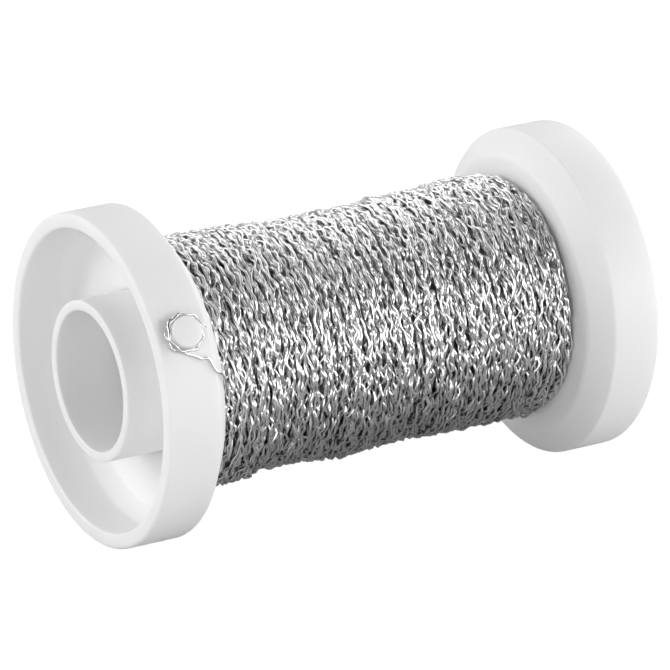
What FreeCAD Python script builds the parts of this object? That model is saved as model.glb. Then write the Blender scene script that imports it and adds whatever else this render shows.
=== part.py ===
"""A small moulded spool of crimped craft wire, its free end tied round a peg on one rim.

X runs along the bore, from the near flange at -X to the far flange at +X. The origin lies on the
bore's axis, halfway between the two outer end faces. The spool lies on its two rims, with +Z up.
All sizes are in millimetres and all angles in degrees.
"""
import FreeCAD, Part
import math
import os

from FreeCAD import Vector

# Core tube, which runs the whole length and carries both flanges
BORE_RADIUS = 9.45
TUBE_WALL = 1.4
TUBE_END_ROUND = 0.25

# Flanges
WINDING_SPACE = 59.9
NEAR_FLANGE_WIDTH = 7.6
FAR_FLANGE_WIDTH = 6.9
FLANGE_RADIUS = 22.5
RIM_WALL = 2.1
WEB_THICKNESS = 2.1
DISH_DEPTH = 2.4
DISH_STEP = 3.4
RECESS_DROP = 2.4
RECESS_STEP = 1.6
COLLAR_WALL = 1.1
COLLAR_LENGTH = 2.6
RIM_EDGE_ROUND = 0.5
RIM_LIP_ROUND = 0.35
WALL_ROOT_ROUND = 0.6
DISH_ROUND = 0.5
FLANGE_FIT = 0.02

# Tie peg, moulded on the near rim; its angle is measured from the top down the front (-Y) side
PEG_RADIUS = 2.05
PEG_HEIGHT = 1.95
PEG_ANGLE = 57.0
PEG_TOP_ROUND = 0.2

# Winding: plain inner layers, and an outer layer shown as one thick wire
PACK_DEPTH = 5.75
LAYER_TURNS = 22.5
LAYER_GAP = 0.5
LAYER_LIFT = 0.05
LAYER_START_ANGLE = 100.0
PACK_FIT = 0.1
PACK_END_FIT = 0.3
FAR_SHOULDER = 0.8
NEAR_CORNER_ROUND = 0.5

# Free end of the wire, tied round the peg and led down to the winding
WIRE_DIAMETER = 0.4
TIE_TURNS = 1.75
TIE_PITCH = 0.82
TIE_SLACK = 0.1
TIE_HEIGHT = 0.22
# Route from the tie to the winding. Each point has a distance along the bore, from the peg and
# then from the near flange's winding face, a height over the rim, and degrees below the peg
TAIL_FIRST_RUN = 1.1
TAIL_FROM_PEG = [(1.9, 0.22, 8.9), (2.9, 0.22, 9.4)]
TAIL_FROM_FACE = [(-0.3, 0.25, 12.6), (0.45, 0.25, 14.6), (1.9, -1.6, 17.0), (2.9, -3.2, 20.5)]
TAIL_LAST_RUN = 2.5
TAIL_ARC_SHARE = 0.45

QUARTER = 90.0
GAP_STEPS = 6

# Places along the axis and radii that follow from the sizes
TUBE_RADIUS = BORE_RADIUS + TUBE_WALL
COLLAR_RADIUS = TUBE_RADIUS + COLLAR_WALL
LENGTH = NEAR_FLANGE_WIDTH + WINDING_SPACE + FAR_FLANGE_WIDTH
NEAR_END = -LENGTH / 2
FAR_END = LENGTH / 2
NEAR_FACE = NEAR_END + NEAR_FLANGE_WIDTH
FAR_FACE = FAR_END - FAR_FLANGE_WIDTH
PEG_X = NEAR_END + NEAR_FLANGE_WIDTH / 2
PACK_RADIUS = TUBE_RADIUS + PACK_DEPTH
NEAR_WEB = NEAR_FACE + DISH_DEPTH
FAR_WEB = FAR_FACE - DISH_DEPTH
PACK_START = NEAR_WEB + PACK_END_FIT
PACK_STOP = FAR_WEB - PACK_END_FIT
LAYER_PITCH = (PACK_STOP - FAR_SHOULDER - PACK_START + LAYER_GAP) / (LAYER_TURNS + 1)
LAYER_WIRE = LAYER_PITCH - LAYER_GAP
LAYER_RADIUS = PACK_RADIUS - LAYER_WIRE / 2
LAYER_START = PACK_START + LAYER_WIRE / 2
INNER_RADIUS = PACK_RADIUS - LAYER_WIRE - LAYER_LIFT


def rounded_face(corners):
    """Closed face in the XZ plane through (x, radius, rounding) corners."""
    points = [Vector(x, 0, r) for x, r, _ in corners]
    edges = []
    ends = []
    for index, point in enumerate(points):
        before = points[index - 1] - point
        after = points[(index + 1) % len(points)] - point
        rounding = corners[index][2]
        if rounding == 0:
            ends.append((point, None, point))
            continue
        half_turn = (math.pi - before.getAngle(after)) / 2
        reach = rounding * math.tan(half_turn)
        first = point + before.normalize() * reach
        last = point + after.normalize() * reach
        ends.append((first, point, last))
    for index, (first, corner, last) in enumerate(ends):
        if corner is not None:
            edges.append(arc_between(first, corner, last))
        start = ends[(index + 1) % len(ends)][0]
        edges.append(Part.makeLine(last, start))
    return Part.Face(Part.Wire(edges))


def arc_between(first, corner, last):
    """Arc from first to last whose two end tangents meet at corner."""
    half_cosine = (last - first).Length / 2 / (corner - first).Length
    middle = (first + last + corner * (2 * half_cosine)) * (0.5 / (1 + half_cosine))
    return Part.Arc(first, middle, last).toShape()


def biarc(first, first_way, last, last_way):
    """Two arcs that leave first along first_way and reach last along last_way."""
    chord = last - first
    bend = 2 * (1 - first_way.dot(last_way))
    run = 2 * chord.dot(first_way + last_way)
    reach = (-run + math.sqrt(run * run + 4 * bend * chord.dot(chord))) / (2 * bend)
    first_corner = first + first_way * reach
    last_corner = last - last_way * reach
    joint = (first_corner + last_corner) * 0.5
    return [arc_between(first, first_corner, joint), arc_between(joint, last_corner, last)]


def turns_path(place, start, turn):
    """Quarter-turn biarcs along place(angle), which gives a point and its unit way."""
    count = max(1, math.ceil(abs(turn) / QUARTER))
    marks = [place(start + turn * step / count) for step in range(count + 1)]
    edges = []
    for (first, first_way), (last, last_way) in zip(marks, marks[1:]):
        edges += biarc(first, first_way, last, last_way)
    return edges


def rounded_route(points):
    """Straight runs through the points, joined by arcs as large as their runs allow."""
    edges = []
    radii = []
    here = points[0]
    for before, corner, after in zip(points, points[1:], points[2:]):
        back = before - corner
        ahead = after - corner
        reach = TAIL_ARC_SHARE * min(back.Length, ahead.Length)
        half_turn = (math.pi - back.getAngle(ahead)) / 2
        radii.append(reach / math.tan(half_turn))
        first = corner + back.normalize() * reach
        last = corner + ahead.normalize() * reach
        edges.append(Part.makeLine(here, first))
        edges.append(arc_between(first, corner, last))
        here = last
    edges.append(Part.makeLine(here, points[-1]))
    return edges, radii


def round_tube(edges, diameter):
    """Round solid wire of this diameter along joined edges."""
    path = Part.Wire(edges)
    start = edges[0].valueAt(edges[0].FirstParameter)
    way = edges[0].tangentAt(edges[0].FirstParameter)
    ring = Part.Wire(Part.Circle(start, way, diameter / 2).toShape())
    tube = path.makePipeShell([ring], True, False)
    section = math.pi * diameter ** 2 / 4
    print("wire length", round(path.Length, 2), "volume share",
          round(tube.Volume / (section * path.Length), 4), "valid", tube.isValid())
    return tube


def least_gap(edges, diameter, apart):
    """Least clear gap between stretches of a wire that are more than apart along it."""
    points = []
    run = 0.0
    for edge in edges:
        span = edge.LastParameter - edge.FirstParameter
        for step in range(GAP_STEPS):
            share = step / GAP_STEPS
            points.append((run + share * edge.Length, edge.valueAt(edge.FirstParameter + share * span)))
        run += edge.Length
    least = math.inf
    for index, (place, point) in enumerate(points):
        for other_place, other in points[index + 1:]:
            if other_place - place < apart:
                continue
            if other_place - place > 3 * apart:
                break
            least = min(least, point.distanceToPoint(other))
    return least - diameter


def at(x, radius, angle):
    """Point at x and radius, at an angle from the top down the front side."""
    turn = math.radians(angle)
    return Vector(x, -radius * math.sin(turn), radius * math.cos(turn))


def down_way(angle):
    """Unit way round the axis at an angle, from the top down the front side."""
    turn = math.radians(angle)
    return Vector(0, -math.cos(turn), -math.sin(turn))


def revolved(corners):
    """Solid of revolution about the bore's axis."""
    return rounded_face(corners).revolve(Vector(0, 0, 0), Vector(1, 0, 0), 360)


def core_tube():
    """Plain tube that runs the whole length, flush with both rims."""
    return revolved([
        (NEAR_END, BORE_RADIUS, TUBE_END_ROUND),
        (NEAR_END, TUBE_RADIUS, TUBE_END_ROUND),
        (FAR_END, TUBE_RADIUS, TUBE_END_ROUND),
        (FAR_END, BORE_RADIUS, TUBE_END_ROUND),
    ])


def flange(outer_end, inner_face):
    """Dished flange: a rim, a sloping shoulder, a flat web at the winding and a collar round the tube."""
    inward = math.copysign(1, inner_face - outer_end)
    web_inside = inner_face + inward * DISH_DEPTH
    web_outside = web_inside - inward * WEB_THICKNESS
    wall_end = web_outside - inward * RECESS_DROP
    collar_end = web_inside + inward * COLLAR_LENGTH
    hole = TUBE_RADIUS + FLANGE_FIT
    rim_inside = FLANGE_RADIUS - RIM_WALL
    return revolved([
        (outer_end, FLANGE_RADIUS, RIM_EDGE_ROUND),
        (inner_face, FLANGE_RADIUS, RIM_EDGE_ROUND),
        (web_inside, FLANGE_RADIUS - DISH_STEP, DISH_ROUND),
        (web_inside, COLLAR_RADIUS, 0),
        (collar_end, COLLAR_RADIUS, 0),
        (collar_end, hole, 0),
        (web_outside, hole, 0),
        (web_outside, rim_inside - RECESS_STEP, DISH_ROUND),
        (wall_end, rim_inside, WALL_ROOT_ROUND),
        (outer_end, rim_inside, RIM_LIP_ROUND),
    ])


def tie_peg():
    """Round peg that stands out of the near rim, its foot inside the rim's wall."""
    out = at(0, 1, PEG_ANGLE)
    foot = at(PEG_X, FLANGE_RADIUS - RIM_WALL / 2, PEG_ANGLE)
    peg = Part.makeCylinder(PEG_RADIUS, RIM_WALL / 2 + PEG_HEIGHT, foot, out)
    top = foot + out * (RIM_WALL / 2 + PEG_HEIGHT)
    rim = [edge for edge in peg.Edges if edge.BoundBox.Center.distanceToPoint(top) < PEG_RADIUS / 2
           and len(edge.Vertexes) == 1]
    return peg.makeFillet(PEG_TOP_ROUND, rim)


def inner_layers():
    """Plain solid of the inner layers, over the tube and both collars."""
    over_collar = COLLAR_RADIUS + PACK_FIT
    over_tube = TUBE_RADIUS + PACK_FIT
    collar_start = NEAR_WEB + COLLAR_LENGTH + PACK_FIT
    collar_stop = FAR_WEB - COLLAR_LENGTH - PACK_FIT
    return revolved([
        (PACK_START, over_collar, 0),
        (PACK_START, INNER_RADIUS, NEAR_CORNER_ROUND),
        (PACK_STOP, INNER_RADIUS, FAR_SHOULDER),
        (PACK_STOP, over_collar, 0),
        (collar_stop, over_collar, 0),
        (collar_stop, over_tube, 0),
        (collar_start, over_tube, 0),
        (collar_start, over_collar, 0),
    ])


def layer_place(angle):
    """Point and way of the outer layer's wire, wound downwards on the front side."""
    turned = angle - LAYER_START_ANGLE
    point = at(LAYER_START + LAYER_PITCH * turned / 360, LAYER_RADIUS, angle)
    way = down_way(angle) * (2 * math.pi * LAYER_RADIUS) + Vector(LAYER_PITCH, 0, 0)
    return point, way.normalize()


def outer_layer():
    """Outer layer of the winding: one unbroken wire with straight ends."""
    start, start_way = layer_place(LAYER_START_ANGLE)
    stop, stop_way = layer_place(LAYER_START_ANGLE + LAYER_TURNS * 360)
    edges = [Part.makeLine(start - start_way * LAYER_WIRE, start)]
    edges += turns_path(layer_place, LAYER_START_ANGLE, LAYER_TURNS * 360)
    edges.append(Part.makeLine(stop, stop + stop_way * LAYER_WIRE))
    print("outer layer: wire", round(LAYER_WIRE, 3), "pitch", round(LAYER_PITCH, 3),
          "least gap", round(least_gap(edges, LAYER_WIRE, math.pi * LAYER_RADIUS), 3))
    return round_tube(edges, LAYER_WIRE)


def tie_place(angle):
    """Point and way of the tie round the peg; the angle is 0 along +X, 90 down the rim."""
    turn = math.radians(angle)
    out = at(0, 1, PEG_ANGLE)
    down = down_way(PEG_ANGLE)
    radius = PEG_RADIUS + TIE_SLACK + WIRE_DIAMETER / 2
    climb = TIE_PITCH * (angle - QUARTER) / 360
    foot = at(PEG_X, FLANGE_RADIUS + TIE_HEIGHT + climb, PEG_ANGLE)
    point = foot + Vector(radius * math.cos(turn), 0, 0) + down * (radius * math.sin(turn))
    way = Vector(math.sin(turn), 0, 0) - down * math.cos(turn) - out * (TIE_PITCH / (2 * math.pi * radius))
    return point, way.normalize()


def wire_end():
    """Free end of the wire: tied round the peg, over the rim's edge and down to the winding."""
    first_angle = QUARTER + TIE_TURNS * 360
    start, start_way = tie_place(first_angle)
    tie = turns_path(tie_place, first_angle, -TIE_TURNS * 360)
    leave, leave_way = tie_place(QUARTER)
    layer_start, layer_way = layer_place(LAYER_START_ANGLE)
    meet = layer_start - layer_way * LAYER_WIRE
    points = [leave, leave + leave_way * TAIL_FIRST_RUN]
    for datum, stretch in ((PEG_X, TAIL_FROM_PEG), (NEAR_FACE, TAIL_FROM_FACE)):
        for past, height, below in stretch:
            points.append(at(datum + past, FLANGE_RADIUS + height, PEG_ANGLE + below))
    points += [meet - layer_way * TAIL_LAST_RUN, meet]
    tail, radii = rounded_route(points)
    print("wire end: bends", [round(radius, 2) for radius in radii],
          "least gap", round(least_gap(tie, WIRE_DIAMETER, math.pi * PEG_RADIUS), 3))
    edges = [Part.makeLine(start - start_way * WIRE_DIAMETER, start)] + tie + tail
    return round_tube(edges, WIRE_DIAMETER)


def main():
    """Write one file per piece."""
    os.makedirs("parts", exist_ok=True)
    pieces = {
        "core_tube": core_tube(),
        "near_flange": flange(NEAR_END, NEAR_FACE).fuse(tie_peg()).removeSplitter(),
        "far_flange": flange(FAR_END, FAR_FACE),
        "wire_inner_layers": inner_layers(),
        "wire_outer_layer": outer_layer(),
        "wire_end": wire_end(),
    }
    for name, shape in pieces.items():
        box = shape.BoundBox
        print(name, "solids", len(shape.Solids), "volume", round(shape.Volume, 1), "valid", shape.isValid(),
              "x", round(box.XMin, 2), round(box.XMax, 2), "z", round(box.ZMin, 2), round(box.ZMax, 2))
        shape.exportStep(f"parts/{name}.step")


main()
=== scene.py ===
"""A small spool of crimped craft wire: white moulded flanges, a loose bright winding, a tied end.

X runs along the bore from the near flange to the far flange, +Z is up and all sizes are in metres.
Angles round the bore are counted from the top, down the front side (-Y).
"""

import logging
import math
from dataclasses import dataclass, field
from enum import Enum
from typing import Any, Iterable, Sequence

import bpy
import numpy as np
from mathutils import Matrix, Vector


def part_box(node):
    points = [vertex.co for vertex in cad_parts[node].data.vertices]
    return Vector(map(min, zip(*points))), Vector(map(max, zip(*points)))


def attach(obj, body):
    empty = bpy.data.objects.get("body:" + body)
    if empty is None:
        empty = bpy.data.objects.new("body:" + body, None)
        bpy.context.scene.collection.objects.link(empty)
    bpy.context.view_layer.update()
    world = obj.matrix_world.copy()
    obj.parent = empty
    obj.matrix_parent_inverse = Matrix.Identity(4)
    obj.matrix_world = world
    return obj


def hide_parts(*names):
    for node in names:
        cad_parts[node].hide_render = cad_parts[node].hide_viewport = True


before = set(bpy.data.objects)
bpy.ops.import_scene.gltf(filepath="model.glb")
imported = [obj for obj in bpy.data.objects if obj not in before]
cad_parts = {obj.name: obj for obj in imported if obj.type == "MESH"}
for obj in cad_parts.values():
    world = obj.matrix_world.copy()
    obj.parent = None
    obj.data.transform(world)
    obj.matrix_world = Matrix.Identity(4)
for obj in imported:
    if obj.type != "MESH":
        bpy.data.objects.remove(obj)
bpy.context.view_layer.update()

LOG = logging.getLogger("spool")

MM = 0.001
BODY = "root"
DEPTH = "depth"
SMOOTH_ANGLE = math.radians(35.0)


class Side(Enum):
    """The end of the spool that a flange closes, as the direction along X that it faces."""

    NEAR = -1
    FAR = 1


class Term:
    """One value inside a shader, with Python's own arithmetic."""

    def __init__(self, graph: "Graph", socket: bpy.types.NodeSocket) -> None:
        """Wraps an output socket.

        Args:
            graph: The node graph that holds the socket.
            socket: The output socket that gives the value.
        """
        self.graph = graph
        self.socket = socket

    def _math(self, operation: str, *values: Any) -> "Term":
        """Adds one Math node.

        Args:
            operation: The node's operation.
            values: Its inputs in order, terms or numbers.

        Returns:
            The node's result.
        """
        node = self.graph.node("ShaderNodeMath", {"operation": operation}, dict(enumerate(values)))
        return Term(self.graph, node.outputs[0])

    def __add__(self, other: Any) -> "Term":
        """Sum."""
        return self._math("ADD", self, other)

    __radd__ = __add__

    def __sub__(self, other: Any) -> "Term":
        """Difference."""
        return self._math("SUBTRACT", self, other)

    def __rsub__(self, other: Any) -> "Term":
        """Difference with this term taken away."""
        return self._math("SUBTRACT", other, self)

    def __mul__(self, other: Any) -> "Term":
        """Product."""
        return self._math("MULTIPLY", self, other)

    __rmul__ = __mul__

    def __truediv__(self, other: Any) -> "Term":
        """Quotient."""
        return self._math("DIVIDE", self, other)

    def __rtruediv__(self, other: Any) -> "Term":
        """Quotient with this term as the divisor."""
        return self._math("DIVIDE", other, self)

    def clamped(self, low: float, high: float) -> "Term":
        """This term kept between two numbers."""
        return self._math("MINIMUM", self._math("MAXIMUM", self, low), high)


class Graph:
    """The node graph of one material or of the world."""

    def __init__(self, owner: bpy.types.ID) -> None:
        """Empties the owner's graph.

        Args:
            owner: A material or a world.
        """
        owner.use_nodes = True
        self.tree = owner.node_tree
        self.tree.nodes.clear()

    def node(self, kind: str, settings: dict[str, Any], inputs: dict[Any, Any]) -> bpy.types.Node:
        """Adds a node.

        Args:
            kind: The node's type.
            settings: Its own settings; "stops" holds a ramp's (place, grey) pairs.
            inputs: Values or terms by input name or number.

        Returns:
            The new node.
        """
        node = self.tree.nodes.new(kind)
        for name, value in settings.items():
            if name == "stops":
                self._set_stops(node.color_ramp, value)
            else:
                setattr(node, name, value)
        for name, value in inputs.items():
            if isinstance(value, Term):
                self.tree.links.new(value.socket, node.inputs[name])
            else:
                node.inputs[name].default_value = value
        return node

    @staticmethod
    def _set_stops(ramp: bpy.types.ColorRamp, stops: Sequence[tuple[float, float]]) -> None:
        """Gives a ramp its stops.

        Args:
            ramp: The ramp of a new node, which has two stops.
            stops: (place, grey) pairs in order.
        """
        while len(ramp.elements) < len(stops):
            ramp.elements.new(1.0)
        for element, (place, grey) in zip(ramp.elements, stops):
            element.position = place
            element.color = (grey, grey, grey, 1.0)

    def term(self, kind: str, settings: dict[str, Any], inputs: dict[Any, Any], output: Any = 0) -> Term:
        """Adds a node and takes one of its outputs as a term."""
        return Term(self, self.node(kind, settings, inputs).outputs[output])

    def place(self) -> Term:
        """Object coordinates, which are the spool's own."""
        return self.term("ShaderNodeTexCoord", {}, {}, "Object")

    def noise(self, place: Term, size: float, detail: float = 2.0) -> Term:
        """Noise from 0 to 1.

        Args:
            place: The coordinates to read.
            size: The size of one patch, in metres.
            detail: How many finer octaves are added.

        Returns:
            The noise's value.
        """
        return self.term("ShaderNodeTexNoise", {}, {"Vector": place, "Scale": 1 / size, "Detail": detail})

    def mixed(self, factor: Term, first: Sequence[float], second: Sequence[float]) -> Term:
        """A colour between two others."""
        settings = {"data_type": "RGBA"}
        node = self.node("ShaderNodeMix", settings, {0: factor, 6: (*first, 1.0), 7: (*second, 1.0)})
        return Term(self, node.outputs[2])

    def ends_in(self, kind: str, surface: Term) -> None:
        """Links a shader to the graph's output node."""
        self.node(kind, {}, {"Surface": surface})


@dataclass(frozen=True)
class PlasticFinish:
    """White moulded plastic with a satin skin."""

    name: str = "spool_plastic"
    pale: tuple[float, float, float] = (0.88, 0.88, 0.88)
    deep: tuple[float, float, float] = (0.85, 0.85, 0.85)
    roughness: float = 0.5
    roughness_swing: float = 0.1
    flow_patch: float = 9 * MM
    flow_detail: float = 3.0
    skin_patch: float = 0.35 * MM
    skin_depth: float = 0.004 * MM
    scatter: float = 0.6
    scatter_depth: float = 1.5 * MM
    refraction: float = 1.5

    def material(self) -> bpy.types.Material:
        """Makes the material."""
        made = bpy.data.materials.new(self.name)
        graph = Graph(made)
        place = graph.place()
        flow = graph.noise(place, self.flow_patch, self.flow_detail)
        skin = graph.noise(place, self.skin_patch)
        relief = {"Height": skin, "Distance": self.skin_depth, "Strength": 1.0}
        bump = graph.term("ShaderNodeBump", {}, relief)
        shader = graph.term("ShaderNodeBsdfPrincipled", {}, {
            "Base Color": graph.mixed(flow, self.pale, self.deep),
            "Roughness": flow * self.roughness_swing + (self.roughness - self.roughness_swing / 2),
            "Normal": bump,
            "IOR": self.refraction,
            "Subsurface Weight": self.scatter,
            "Subsurface Radius": (1.0, 1.0, 1.0),
            "Subsurface Scale": self.scatter_depth,
        })
        graph.ends_in("ShaderNodeOutputMaterial", shader)
        return made


@dataclass(frozen=True)
class WireFinish:
    """Bright drawn steel wire. Its colour is darkened towards the depth of the winding as painted shade,
    and random scuff patches darken it as well.
    """

    name: str = "crimped_wire"
    bright: tuple[float, float, float] = (0.96, 0.96, 0.96)
    # Grey painted where the wire lies deep in the winding: painted shade, not a finish of the wire.
    deep_shade: tuple[float, float, float] = (0.42, 0.42, 0.42)
    roughness: float = 0.22
    roughness_swing: float = 0.12
    bright_depth: float = 0.35 * MM
    deep_shade_depth: float = 1.25 * MM
    scuff_patch: float = 0.8 * MM
    scuff_reach: float = 1.5

    def material(self) -> bpy.types.Material:
        """Makes the material."""
        made = bpy.data.materials.new(self.name)
        graph = Graph(made)
        place = graph.place()
        depth = graph.term("ShaderNodeAttribute", {"attribute_name": DEPTH}, {}, "Fac")
        # Painted shade: the colour goes from bright to the deep-shade grey as the wire lies deeper under
        # the crest, standing in for the shade between layers; the scuff noise adds random dull patches.
        share = (depth - self.bright_depth) / (self.deep_shade_depth - self.bright_depth)
        scuff = graph.noise(place, self.scuff_patch)
        depth_shade_and_scuff = (share + (scuff - 0.5) * self.scuff_reach).clamped(0.0, 1.0)
        shader = graph.term("ShaderNodeBsdfPrincipled", {}, {
            "Base Color": graph.mixed(depth_shade_and_scuff, self.bright, self.deep_shade),
            "Metallic": 1.0,
            "Roughness": scuff * self.roughness_swing + (self.roughness - self.roughness_swing / 2),
        })
        graph.ends_in("ShaderNodeOutputMaterial", shader)
        return made


def clear_selection() -> None:
    """Deselects every object."""
    bpy.ops.object.select_all(action="DESELECT")


def finished(piece: bpy.types.Object, name: str, material: bpy.types.Material,
             nodes: Sequence[str]) -> None:
    """Names a piece, dresses it and fixes it to the spool.

    Args:
        piece: The mesh object, with its place in its mesh.
        name: The piece's name.
        material: Its material.
        nodes: The CAD nodes that it stands for.
    """
    piece.name = name
    piece.data.name = name
    piece.data.materials.clear()
    piece.data.materials.append(material)
    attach(piece, BODY)
    if nodes:
        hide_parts(*nodes)
    piece.data.calc_loop_triangles()
    LOG.info("%s: %d triangles", name, len(piece.data.loop_triangles))


@dataclass
class Station:
    """A corner of a turned profile: its place along X, its radius and how far it is rounded."""

    x: float
    radius: float
    rounding: float = 0.0


@dataclass
class Turning:
    """A closed ring turned about the bore's axis from a profile of stations."""

    stations: list[Station]
    segments: int = 192
    rounding_steps: int = 5
    weld: float = 0.001 * MM
    ring_reach: float = 0.02 * MM

    def build(self) -> bpy.types.Object:
        """Turns the profile.

        Returns:
            The mesh object, at the origin.
        """
        clear_selection()
        first = self.stations[0]
        bpy.ops.mesh.primitive_circle_add(
            vertices=self.segments, radius=first.radius, fill_type="NOTHING",
            location=(first.x, 0, 0), rotation=(0, math.pi / 2, 0))
        piece = bpy.context.active_object
        bpy.ops.object.transform_apply(location=True, rotation=True, scale=True)
        bpy.ops.object.mode_set(mode="EDIT")
        for before, here in zip(self.stations, self.stations[1:]):
            bpy.ops.mesh.extrude_edges_move()
            bpy.ops.transform.translate(value=(here.x - before.x, 0, 0))
            share = here.radius / before.radius
            bpy.ops.transform.resize(value=(1, share, share), center_override=(here.x, 0, 0))
        self._select_loops(piece, [first, self.stations[-1]])
        bpy.ops.mesh.bridge_edge_loops()
        for rounding in sorted({station.rounding for station in self.stations} - {0.0}, reverse=True):
            self._select_loops(piece, [item for item in self.stations if item.rounding == rounding])
            bpy.ops.mesh.bevel(offset=rounding, segments=self.rounding_steps, offset_type="OFFSET")
        bpy.ops.mesh.select_all(action="SELECT")
        bpy.ops.mesh.remove_doubles(threshold=self.weld)
        bpy.ops.mesh.normals_make_consistent(inside=False)
        bpy.ops.object.mode_set(mode="OBJECT")
        bpy.ops.object.shade_smooth_by_angle(angle=SMOOTH_ANGLE)
        return piece

    def _select_loops(self, piece: bpy.types.Object, stations: Iterable[Station]) -> None:
        """Selects the rings of edges that lie on some stations, and nothing else.

        Args:
            piece: The mesh object in edit mode.
            stations: The stations whose rings are selected.
        """
        bpy.ops.mesh.select_all(action="DESELECT")
        bpy.ops.object.mode_set(mode="OBJECT")
        mesh = piece.data
        for edge in mesh.edges:
            ends = [mesh.vertices[index].co for index in edge.vertices]
            places = [(end.x, math.hypot(end.y, end.z)) for end in ends]
            for station in stations:
                if all(abs(x - station.x) < self.ring_reach
                       and abs(radius - station.radius) < self.ring_reach for x, radius in places):
                    edge.select = True
        bpy.ops.object.mode_set(mode="EDIT")
        bpy.ops.mesh.select_mode(type="EDGE")


@dataclass
class CoreTube:
    """The plain tube that carries both flanges and gives the bore."""

    bore_radius: float = 9.45 * MM
    end_round: float = 0.25 * MM
    low: Vector = field(default_factory=lambda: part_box("core_tube")[0])
    high: Vector = field(default_factory=lambda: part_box("core_tube")[1])

    @property
    def radius(self) -> float:
        """Outer radius."""
        return self.high.z

    def build(self, finish: bpy.types.Material) -> None:
        """Turns the tube.

        Args:
            finish: The plastic.
        """
        stations = [
            Station(self.low.x, self.bore_radius, self.end_round),
            Station(self.low.x, self.radius, self.end_round),
            Station(self.high.x, self.radius, self.end_round),
            Station(self.high.x, self.bore_radius, self.end_round),
        ]
        finished(Turning(stations).build(), "core_tube_moulding", finish, ["core_tube"])


@dataclass
class Flange:
    """Dished flange: a rim, a sloping shoulder, a flat web at the winding and a collar round the tube."""

    side: Side
    width: float
    node: str
    rim_wall: float = 2.1 * MM
    web_thickness: float = 2.1 * MM
    dish_depth: float = 2.4 * MM
    dish_step: float = 3.4 * MM
    recess_drop: float = 2.4 * MM
    recess_step: float = 1.6 * MM
    collar_wall: float = 1.1 * MM
    collar_length: float = 2.6 * MM
    edge_round: float = 0.5 * MM
    inner_edge_round: float = 0.25 * MM
    lip_round: float = 0.35 * MM
    root_round: float = 0.35 * MM
    tube_fit: float = 0.02 * MM

    @property
    def outer_end(self) -> float:
        """X of the rim's outer end."""
        low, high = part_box(self.node)
        return low.x if self.side is Side.NEAR else high.x

    @property
    def face(self) -> float:
        """X of the rim's inner edge."""
        return self.outer_end - self.side.value * self.width

    @property
    def web(self) -> float:
        """X of the flat web's face, which holds the winding."""
        return self.face - self.side.value * self.dish_depth

    @property
    def radius(self) -> float:
        """Rim radius, taken at the bottom, away from the peg."""
        return -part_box(self.node)[0].z

    def build(self, tube: CoreTube, finish: bpy.types.Material) -> None:
        """Turns the flange.

        Args:
            tube: The tube that the flange sits on.
            finish: The plastic.
        """
        inward = -self.side.value
        hole = tube.radius + self.tube_fit
        collar = tube.radius + self.collar_wall
        inside = self.radius - self.rim_wall
        web_outside = self.web - inward * self.web_thickness
        collar_end = self.web + inward * self.collar_length
        stations = [
            Station(self.outer_end, self.radius, self.edge_round),
            Station(self.face, self.radius, self.inner_edge_round),
            Station(self.web, self.radius - self.dish_step, self.edge_round),
            Station(self.web, collar),
            Station(collar_end, collar),
            Station(collar_end, hole),
            Station(web_outside, hole),
            Station(web_outside, inside - self.recess_step, self.inner_edge_round),
            Station(web_outside - inward * self.recess_drop, inside, self.root_round),
            Station(self.outer_end, inside, self.lip_round),
        ]
        name = f"{self.node}_moulding"
        finished(Turning(stations).build(), name, finish, [self.node])


def store_depth(mesh: bpy.types.Mesh, depths: np.ndarray) -> None:
    """Stores how deep in the winding each vertex lies, which the wire's material turns into painted shade.

    Args:
        mesh: The wire's mesh.
        depths: One depth for each vertex.
    """
    mesh.attributes.new(DEPTH, "FLOAT", "POINT").data.foreach_set("value", depths.astype(np.float32))


def round_the_bore(x: float, radius: float, angle: float) -> Vector:
    """Point at x and radius, at an angle in radians from the top down the front side."""
    return Vector((x, -radius * math.sin(angle), radius * math.cos(angle)))


@dataclass
class TiePeg:
    """The round peg on the near rim that the wire's end is tied to."""

    x: float
    rim_radius: float
    radius: float = 2.05 * MM
    height: float = 1.95 * MM
    angle: float = math.radians(57.0)
    sunk: float = 1.0 * MM
    top_round: float = 0.2 * MM
    top_round_steps: int = 4
    top_reach: float = 0.01 * MM
    segments: int = 96

    @property
    def foot(self) -> Vector:
        """Centre of the peg on the rim's surface."""
        return round_the_bore(self.x, self.rim_radius, self.angle)

    @property
    def out(self) -> Vector:
        """Unit vector along the peg, away from the rim."""
        return round_the_bore(0.0, 1.0, self.angle)

    def build(self, finish: bpy.types.Material) -> None:
        """Makes the peg, its foot inside the rim's wall.

        Args:
            finish: The plastic.
        """
        clear_selection()
        length = self.sunk + self.height
        middle = self.foot + self.out * (length / 2 - self.sunk)
        bpy.ops.mesh.primitive_cylinder_add(
            vertices=self.segments, radius=self.radius, depth=length,
            location=middle, rotation=(self.angle, 0, 0))
        piece = bpy.context.active_object
        bpy.ops.object.transform_apply(location=True, rotation=True, scale=True)
        top = self.foot + self.out * self.height
        mesh = piece.data
        bpy.ops.object.mode_set(mode="EDIT")
        bpy.ops.mesh.select_all(action="DESELECT")
        bpy.ops.mesh.select_mode(type="EDGE")
        bpy.ops.object.mode_set(mode="OBJECT")
        for edge in mesh.edges:
            edge.select = all(abs((mesh.vertices[index].co - top).dot(self.out)) < self.top_reach
                              for index in edge.vertices)
        bpy.ops.object.mode_set(mode="EDIT")
        bpy.ops.mesh.bevel(offset=self.top_round, segments=self.top_round_steps)
        bpy.ops.object.mode_set(mode="OBJECT")
        bpy.ops.object.shade_smooth_by_angle(angle=SMOOTH_ANGLE)
        finished(piece, "tie_peg", finish, [])


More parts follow.
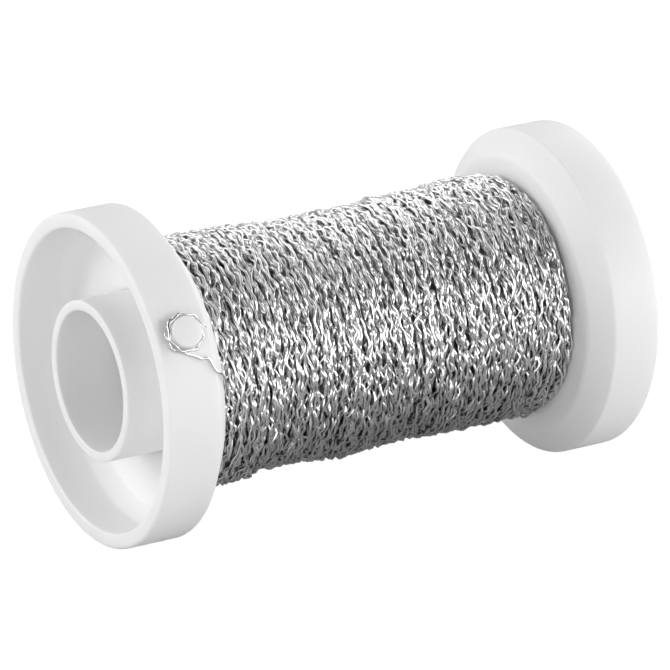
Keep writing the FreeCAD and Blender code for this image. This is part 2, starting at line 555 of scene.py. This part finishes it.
def wire_mesh(points: np.ndarray, diameter: float, steps: int, roundness: int) -> bpy.types.Object:
    """A round wire along one smooth open line.

    Args:
        points: The line's control points, one row each.
        diameter: The wire's diameter.
        steps: How many rings it has per control point.
        roundness: Blender's bevel resolution.

    Returns:
        A mesh object at the origin.
    """
    clear_selection()
    curve = bpy.data.curves.new("wire", "CURVE")
    curve.dimensions = "3D"
    spline = curve.splines.new("NURBS")
    spline.points.add(len(points) - 1)
    spline.points.foreach_set("co", np.column_stack([points, np.ones(len(points))]).ravel())
    spline.order_u = 3
    spline.use_endpoint_u = True
    curve.resolution_u = steps
    spline.resolution_u = steps
    curve.bevel_depth = diameter / 2
    curve.bevel_resolution = roundness
    curve.use_fill_caps = True
    piece = bpy.data.objects.new("wire", curve)
    bpy.context.collection.objects.link(piece)
    bpy.context.view_layer.objects.active = piece
    piece.select_set(True)
    bpy.ops.object.convert(target="MESH")
    return bpy.context.active_object


class Drift:
    """A smooth random line: random heights at even knots, joined by soft steps."""

    def __init__(self, rng: np.random.RandomState, length: float, knot: float, reach: float) -> None:
        """Draws the knots.

        Args:
            rng: The source of random numbers.
            length: How long the line is.
            knot: The distance between knots.
            reach: The standard deviation of the heights.
        """
        self.knot = knot
        self.heights = rng.normal(0.0, reach, int(length / knot) + 3)

    def at(self, run: np.ndarray) -> np.ndarray:
        """Heights at distances along the line."""
        place = run / self.knot
        index = place.astype(int)
        share = place - index
        share = share * share * (3 - 2 * share)
        return self.heights[index] * (1 - share) + self.heights[index + 1] * share


@dataclass
class Winding:
    """The wound wire: crimped layers that run from flange to flange and back, over a core that takes the
    painted depth shade and so renders dark.

    crest_top and crest_bottom hold (place along the bore, outer radius) pairs in millimetres.
    """

    near_web: float
    far_web: float
    tube_radius: float
    collar_radius: float
    collar_length: float
    diameter: float = 0.35 * MM
    pitch: float = 0.6 * MM
    layers: int = 5
    layer_drop: float = 0.33 * MM
    half_wave: float = 1.2 * MM
    half_wave_swing: float = 0.22
    radial_kink: float = 0.95 * MM
    lateral_kink: float = 0.4 * MM
    kink_swing: float = 0.5
    kink_turn: float = 2 * MM
    kink_plane_swing: float = 0.9
    outward_reach: float = 0.35 * MM
    scatter: float = 0.09 * MM
    lateral_drift: float = 0.3 * MM
    lateral_knot: float = 11 * MM
    radial_drift: float = 0.09 * MM
    radial_knot: float = 7 * MM
    drift_spare: float = 1.01
    crest_samples: int = 50
    end_gap: float = 0.3 * MM
    core_depth: float = 1.6 * MM
    core_fit: float = 0.1 * MM
    core_rings: int = 40
    core_segments: int = 128
    start_angle: float = math.radians(84.0)
    seed: int = 11
    crest_top: tuple[tuple[float, float], ...] = (
        (-27.0, 16.3), (-25.5, 16.9), (-22.0, 16.9), (-16.0, 16.8), (-11.0, 16.5), (-7.0, 16.15),
        (-3.0, 16.2), (0.0, 16.45), (5.0, 16.3), (8.0, 16.65), (14.0, 16.65), (18.0, 17.0),
        (21.0, 17.3), (24.0, 17.1), (26.4, 16.9), (27.7, 15.9))
    crest_bottom: tuple[tuple[float, float], ...] = (
        (-27.0, 16.4), (-25.5, 16.8), (-21.0, 17.0), (-18.5, 16.85), (-16.0, 16.0), (-13.0, 16.15),
        (-8.0, 16.25), (-5.5, 16.9), (-3.0, 16.85), (0.0, 16.7), (2.5, 16.5), (5.0, 16.25),
        (8.0, 16.45), (22.0, 16.6), (26.4, 16.6), (27.7, 15.9))

    @property
    def low(self) -> float:
        """X where the winding starts."""
        return self.near_web + self.end_gap

    @property
    def high(self) -> float:
        """X where the winding ends."""
        return self.far_web - self.end_gap

    def crest_radius(self, x: np.ndarray, angle: np.ndarray | float) -> np.ndarray:
        """Outer radius of the winding, which isn't quite round.

        Args:
            x: Places along the bore.
            angle: Their angles round the bore, in radians.

        Returns:
            One radius for each place.
        """
        tables = [np.array(table) * MM for table in (self.crest_top, self.crest_bottom)]
        top, bottom = (np.interp(x, table[:, 0], table[:, 1]) for table in tables)
        return top + (bottom - top) * (0.5 - 0.5 * np.cos(angle))

    def mark_depth(self, piece: bpy.types.Object) -> None:
        """Stores how far each vertex lies under the winding's crest.

        Args:
            piece: A mesh object of the winding.
        """
        mesh = piece.data
        places = np.empty(len(mesh.vertices) * 3, np.float32)
        mesh.vertices.foreach_get("co", places)
        x, y, z = places.reshape(-1, 3).T
        depth = self.crest_radius(x, np.arctan2(-y, z)) - np.hypot(y, z)
        store_depth(mesh, depth)

    def layer_points(self, layer: int, start_angle: float) -> tuple[np.ndarray, float]:
        """Control points of one layer's wire.

        Args:
            layer: 0 for the outermost layer.
            start_angle: Where the wire starts round the bore, in radians.

        Returns:
            The points, and the angle at which the wire ends.
        """
        rng = np.random.RandomState(self.seed + layer)
        runs_to_far = layer % 2 == 0
        low, high = self.low, self.high
        crest = self.crest_radius(np.linspace(low, high, self.crest_samples), math.pi / 2)
        mean_radius = float(np.mean(crest)) - layer * self.layer_drop
        turns = (high - low) / self.pitch
        length = turns * 2 * math.pi * mean_radius
        count = int(length / self.half_wave)
        runs = np.cumsum(self.half_wave * (1 + self.half_wave_swing * rng.uniform(-1, 1, count)))
        runs *= length / runs[-1]
        sign = np.where(np.arange(count) % 2 == 0, 1.0, -1.0)
        spare = length * self.drift_spare
        plane = Drift(rng, spare, self.kink_turn, self.kink_plane_swing).at(runs)
        size = sign * (1 + self.kink_swing * rng.normal(0.0, 1.0, count))
        sideways = Drift(rng, spare, self.lateral_knot, self.lateral_drift).at(runs)
        upward = Drift(rng, spare, self.radial_knot, self.radial_drift).at(runs)
        sway = np.sin(plane) * self.lateral_kink * size + sideways + rng.normal(0.0, self.scatter, count)
        lift = np.cos(plane) * self.radial_kink * size + upward + rng.normal(0.0, self.scatter, count)
        angle = start_angle + runs / mean_radius
        along = low + (high - low) * runs / length
        x = (along if runs_to_far else low + high - along) + sway
        x = np.clip(x, low, high)
        top = self.crest_radius(x, angle) - self.diameter / 2 - layer * self.layer_drop
        radius = top + np.minimum(lift, self.outward_reach)
        points = np.column_stack([x, -radius * np.sin(angle), radius * np.cos(angle)])
        return points, float(angle[-1])

    def build_core(self, finish: bpy.types.Material) -> None:
        """Turns the solid that the inner layers make under the visible wire.

        Args:
            finish: The wire's material.
        """
        places = np.linspace(self.low, self.high, self.core_rings)
        tops = self.crest_radius(places, math.pi / 2) - self.core_depth
        over_collar = self.collar_radius + self.core_fit
        over_tube = self.tube_radius + self.core_fit
        past_near_collar = self.near_web + self.collar_length + self.core_fit
        past_far_collar = self.far_web - self.collar_length - self.core_fit
        stations = [Station(float(x), float(r)) for x, r in zip(places, tops)]
        stations += [
            Station(self.high, over_collar),
            Station(past_far_collar, over_collar),
            Station(past_far_collar, over_tube),
            Station(past_near_collar, over_tube),
            Station(past_near_collar, over_collar),
            Station(self.low, over_collar),
        ]
        core = Turning(stations, segments=self.core_segments).build()
        # The core lies deeper than the full-shade depth, so its colour is mostly painted shade, standing in
        # for the shaded inner layers.
        self.mark_depth(core)
        finished(core, "wire_core", finish, ["wire_inner_layers"])

    def build(self, finish: bpy.types.Material) -> list[np.ndarray]:
        """Winds every visible layer.

        Args:
            finish: The wire's material.

        Returns:
            The control points of each layer, outermost first.
        """
        angle = self.start_angle
        routes = []
        for layer in range(self.layers):
            points, angle = self.layer_points(layer, angle)
            if routes:
                points[0] = routes[-1][-1]
            routes.append(points)
        for layer, points in enumerate(routes):
            piece = wire_mesh(points, self.diameter, steps=2, roundness=1)
            self.mark_depth(piece)
            finished(piece, f"wire_layer_{layer + 1}", finish, ["wire_outer_layer"])
        return routes


@dataclass
class WireEnd:
    """The wire's free end: tied round the peg, led over the rim and down to the winding.

    Each point of from_peg and from_face has a distance along the bore from the peg or from the near
    flange's face and a height over the rim, both in millimetres, and degrees below the peg.
    """

    peg: TiePeg
    near_face: float
    diameter: float = 0.4 * MM
    turns: float = 1.75
    climb: float = 0.82 * MM
    slack: float = 0.2 * MM
    foot_gap: float = 0.22 * MM
    kink: float = 0.36 * MM
    kink_run: float = 1.0 * MM
    kink_swing: float = 0.5
    kink_lift: float = 0.5
    # Depth given to the tie so that it takes part of the wire's painted depth shade.
    tie_shade_depth: float = 0.6 * MM
    seed: int = 5
    from_peg: tuple[tuple[float, float, float], ...] = ((1.2, 0.25, 8.0), (1.9, 0.22, 9.3), (2.9, 0.3, 8.9))
    from_face: tuple[tuple[float, float, float], ...] = (
        (-0.4, 0.24, 13.6), (0.2, 0.28, 14.6), (0.75, -0.3, 15.4), (1.57, -1.5, 16.9), (2.5, -3.0, 20.0),
        (3.3, -4.6, 24.0))

    def tie_points(self) -> list[Vector]:
        """Control points of the turns round the peg, from the wire's tip to where it leaves."""
        rng = np.random.RandomState(self.seed)
        radius = self.peg.radius + self.slack + self.diameter / 2
        down = Vector((0.0, -math.cos(self.peg.angle), -math.sin(self.peg.angle)))
        quarter = math.pi / 2
        count = int(self.turns * 2 * math.pi * radius / self.kink_run)
        points = []
        for step in range(count + 1):
            turn = quarter + self.turns * 2 * math.pi * (1 - step / count)
            height = self.foot_gap + self.climb * (turn - quarter) / (2 * math.pi)
            sign = 1 if step % 2 == 0 else -1
            size = 1 - self.kink_swing + self.kink_swing * rng.uniform()
            reach = radius + max(-self.slack, sign * self.kink * size)
            lift = sign * self.kink * self.kink_lift * rng.uniform(-1, 1)
            points.append(self.peg.foot + Vector((1, 0, 0)) * reach * math.cos(turn)
                          + down * reach * math.sin(turn) + self.peg.out * (height + lift))
        return points

    def build(self, landing: np.ndarray, finish: bpy.types.Material) -> None:
        """Bends the whole end.

        Args:
            landing: The first control points of the winding's outer layer.
            finish: The wire's material.
        """
        points = self.tie_points()
        rim = self.peg.rim_radius
        for datum, stretch in ((self.peg.x, self.from_peg), (self.near_face, self.from_face)):
            for past, height, below in stretch:
                points.append(round_the_bore(datum + past * MM, rim + height * MM,
                                             self.peg.angle + math.radians(below)))
        points += [Vector(point) for point in landing]
        piece = wire_mesh(np.array(points), self.diameter, steps=6, roundness=2)
        # Painted shade: the whole tied end is greyed by part of the depth shade, with random dull patches
        # from the scuff noise.
        store_depth(piece.data, np.full(len(piece.data.vertices), self.tie_shade_depth))
        finished(piece, "wire_end_tie", finish, ["wire_end"])


@dataclass
class Lamp:
    """A square soft lamp that looks at the spool."""

    name: str
    azimuth: float
    elevation: float
    size: float
    power: float
    distance: float = 1.3

    def build(self) -> None:
        """Hangs the lamp."""
        light = bpy.data.lights.new(self.name, "AREA")
        light.shape = "SQUARE"
        light.size = self.size
        light.energy = self.power
        lamp = bpy.data.objects.new(self.name, light)
        bpy.context.collection.objects.link(lamp)
        out = from_angles(self.azimuth, self.elevation)
        lamp.location = out * self.distance
        lamp.rotation_euler = out.to_track_quat("Z", "Y").to_euler()
        lamp.visible_camera = False


def from_angles(azimuth: float, elevation: float) -> Vector:
    """Unit vector towards a viewer; azimuth 0 is on the -Y side and 90 on the +X side, in degrees."""
    turn, rise = math.radians(azimuth), math.radians(elevation)
    return Vector((math.sin(turn) * math.cos(rise), -math.cos(turn) * math.cos(rise), math.sin(rise)))


@dataclass
class Studio:
    """Pale floor, pale low walls, soft lamps and the camera."""

    floor_height: float
    floor_size: float = 6.0
    floor_glow: float = 1.13
    floor_glow_share: float = 0.85
    floor_bounce: float = 0.6
    floor_mirrored: float = 0.4
    world_glow: float = 0.02
    wall_glow: float = 0.85
    wall_height: float = math.radians(14.0)
    wall_fade: float = math.radians(21.0)
    azimuth: float = -29.783
    elevation: float = 21.336
    distance: float = 801.489 * MM
    aim_right: float = -0.007 * MM
    aim_up: float = -0.608 * MM
    lens: float = 321.28
    nearest: float = 0.05
    farthest: float = 20.0
    lamps: tuple[Lamp, ...] = (
        Lamp("left_lamp", -110.0, 30.0, 0.75, 4.3),
        Lamp("left_low_lamp", -110.0, 9.0, 0.55, 3.2),
        Lamp("camera_side_low_lamp", -50.0, 13.0, 0.7, 3.9),
        Lamp("front_low_lamp", 20.0, 13.0, 0.7, 4.8),
        Lamp("right_front_low_lamp", 55.0, 12.0, 0.65, 4.5),
        Lamp("right_lamp", 90.0, 30.0, 0.75, 3.0),
        Lamp("right_high_lamp", 90.0, 52.0, 0.95, 2.4),
        Lamp("right_back_lamp", 130.0, 30.0, 0.75, 4.4),
        Lamp("back_high_lamp", 170.0, 52.0, 0.95, 1.9),
        Lamp("left_back_lamp", -150.0, 30.0, 0.75, 3.0),
    )

    def build(self) -> None:
        """Sets up everything round the spool."""
        self._floor()
        self._world()
        for lamp in self.lamps:
            lamp.build()
        self._camera()
        bpy.context.scene.view_settings.view_transform = "Standard"

    def _floor(self) -> None:
        """Lays the floor: white with a faint shadow for the camera, greyer where the wire mirrors it."""
        clear_selection()
        bpy.ops.mesh.primitive_plane_add(size=self.floor_size, location=(0, 0, self.floor_height))
        floor = bpy.context.active_object
        floor.name = "floor"
        made = bpy.data.materials.new("floor_white")
        graph = Graph(made)
        path = graph.node("ShaderNodeLightPath", {}, {})
        names = ("Is Camera Ray", "Is Glossy Ray", "Is Transmission Ray")
        camera, glossy, through = (Term(graph, path.outputs[name]) for name in names)
        mirrored = (glossy + through) * (self.floor_mirrored - self.floor_bounce)
        tone = camera * (1.0 - self.floor_bounce) + mirrored + self.floor_bounce
        plain = graph.term("ShaderNodeBsdfDiffuse", {}, {"Color": tone})
        glow = graph.term("ShaderNodeEmission", {}, {"Strength": self.floor_glow})
        share = camera * self.floor_glow_share
        surface = graph.term("ShaderNodeMixShader", {}, {0: share, 1: plain, 2: glow})
        graph.ends_in("ShaderNodeOutputMaterial", surface)
        floor.data.materials.append(made)

    def _world(self) -> None:
        """Surrounds the spool with low pale walls, which fade into a dark ceiling."""
        world = bpy.data.worlds.new("studio")
        bpy.context.scene.world = world
        graph = Graph(world)
        way = graph.term("ShaderNodeTexCoord", {}, {}, "Generated")
        split = graph.node("ShaderNodeSeparateXYZ", {}, {0: way})
        stops = ((0.0, self.wall_glow), (math.sin(self.wall_height), self.wall_glow),
                 (math.sin(self.wall_fade), self.world_glow), (1.0, self.world_glow))
        height = Term(graph, split.outputs["Z"])
        tone = graph.term("ShaderNodeValToRGB", {"stops": stops}, {0: height})
        light = graph.term("ShaderNodeBackground", {}, {"Color": tone})
        graph.ends_in("ShaderNodeOutputWorld", light)

    def _camera(self) -> None:
        """Places the camera where the photograph was taken from."""
        turn, rise = math.radians(self.azimuth), math.radians(self.elevation)
        back = from_angles(self.azimuth, self.elevation)
        right = Vector((math.cos(turn), math.sin(turn), 0.0))
        up = back.cross(right)
        camera = bpy.data.objects.new("camera", bpy.data.cameras.new("camera"))
        bpy.context.collection.objects.link(camera)
        camera.data.lens = self.lens
        camera.data.clip_start = self.nearest
        camera.data.clip_end = self.farthest
        camera.location = back * self.distance + right * self.aim_right + up * self.aim_up
        camera.rotation_euler = (math.pi / 2 - rise, 0.0, turn)
        bpy.context.scene.camera = camera


def main() -> None:
    """Builds the spool, then the studio round it."""
    logging.basicConfig(level=logging.INFO, format="%(name)s %(message)s")
    plastic = PlasticFinish().material()
    wire = WireFinish().material()
    tube = CoreTube()
    tube.build(plastic)
    near = Flange(Side.NEAR, width=7.6 * MM, node="near_flange")
    far = Flange(Side.FAR, width=6.9 * MM, node="far_flange")
    for flange in (near, far):
        flange.build(tube, plastic)
    peg = TiePeg(near.outer_end + near.width / 2, near.radius)
    peg.build(plastic)
    winding = Winding(near.web, far.web, tube.radius, tube.radius + near.collar_wall, near.collar_length)
    winding.build_core(wire)
    routes = winding.build(wire)
    WireEnd(peg, near.face).build(routes[0][:1], wire)
    Studio(floor_height=-near.radius).build()


if __name__ == "__main__":
    main()
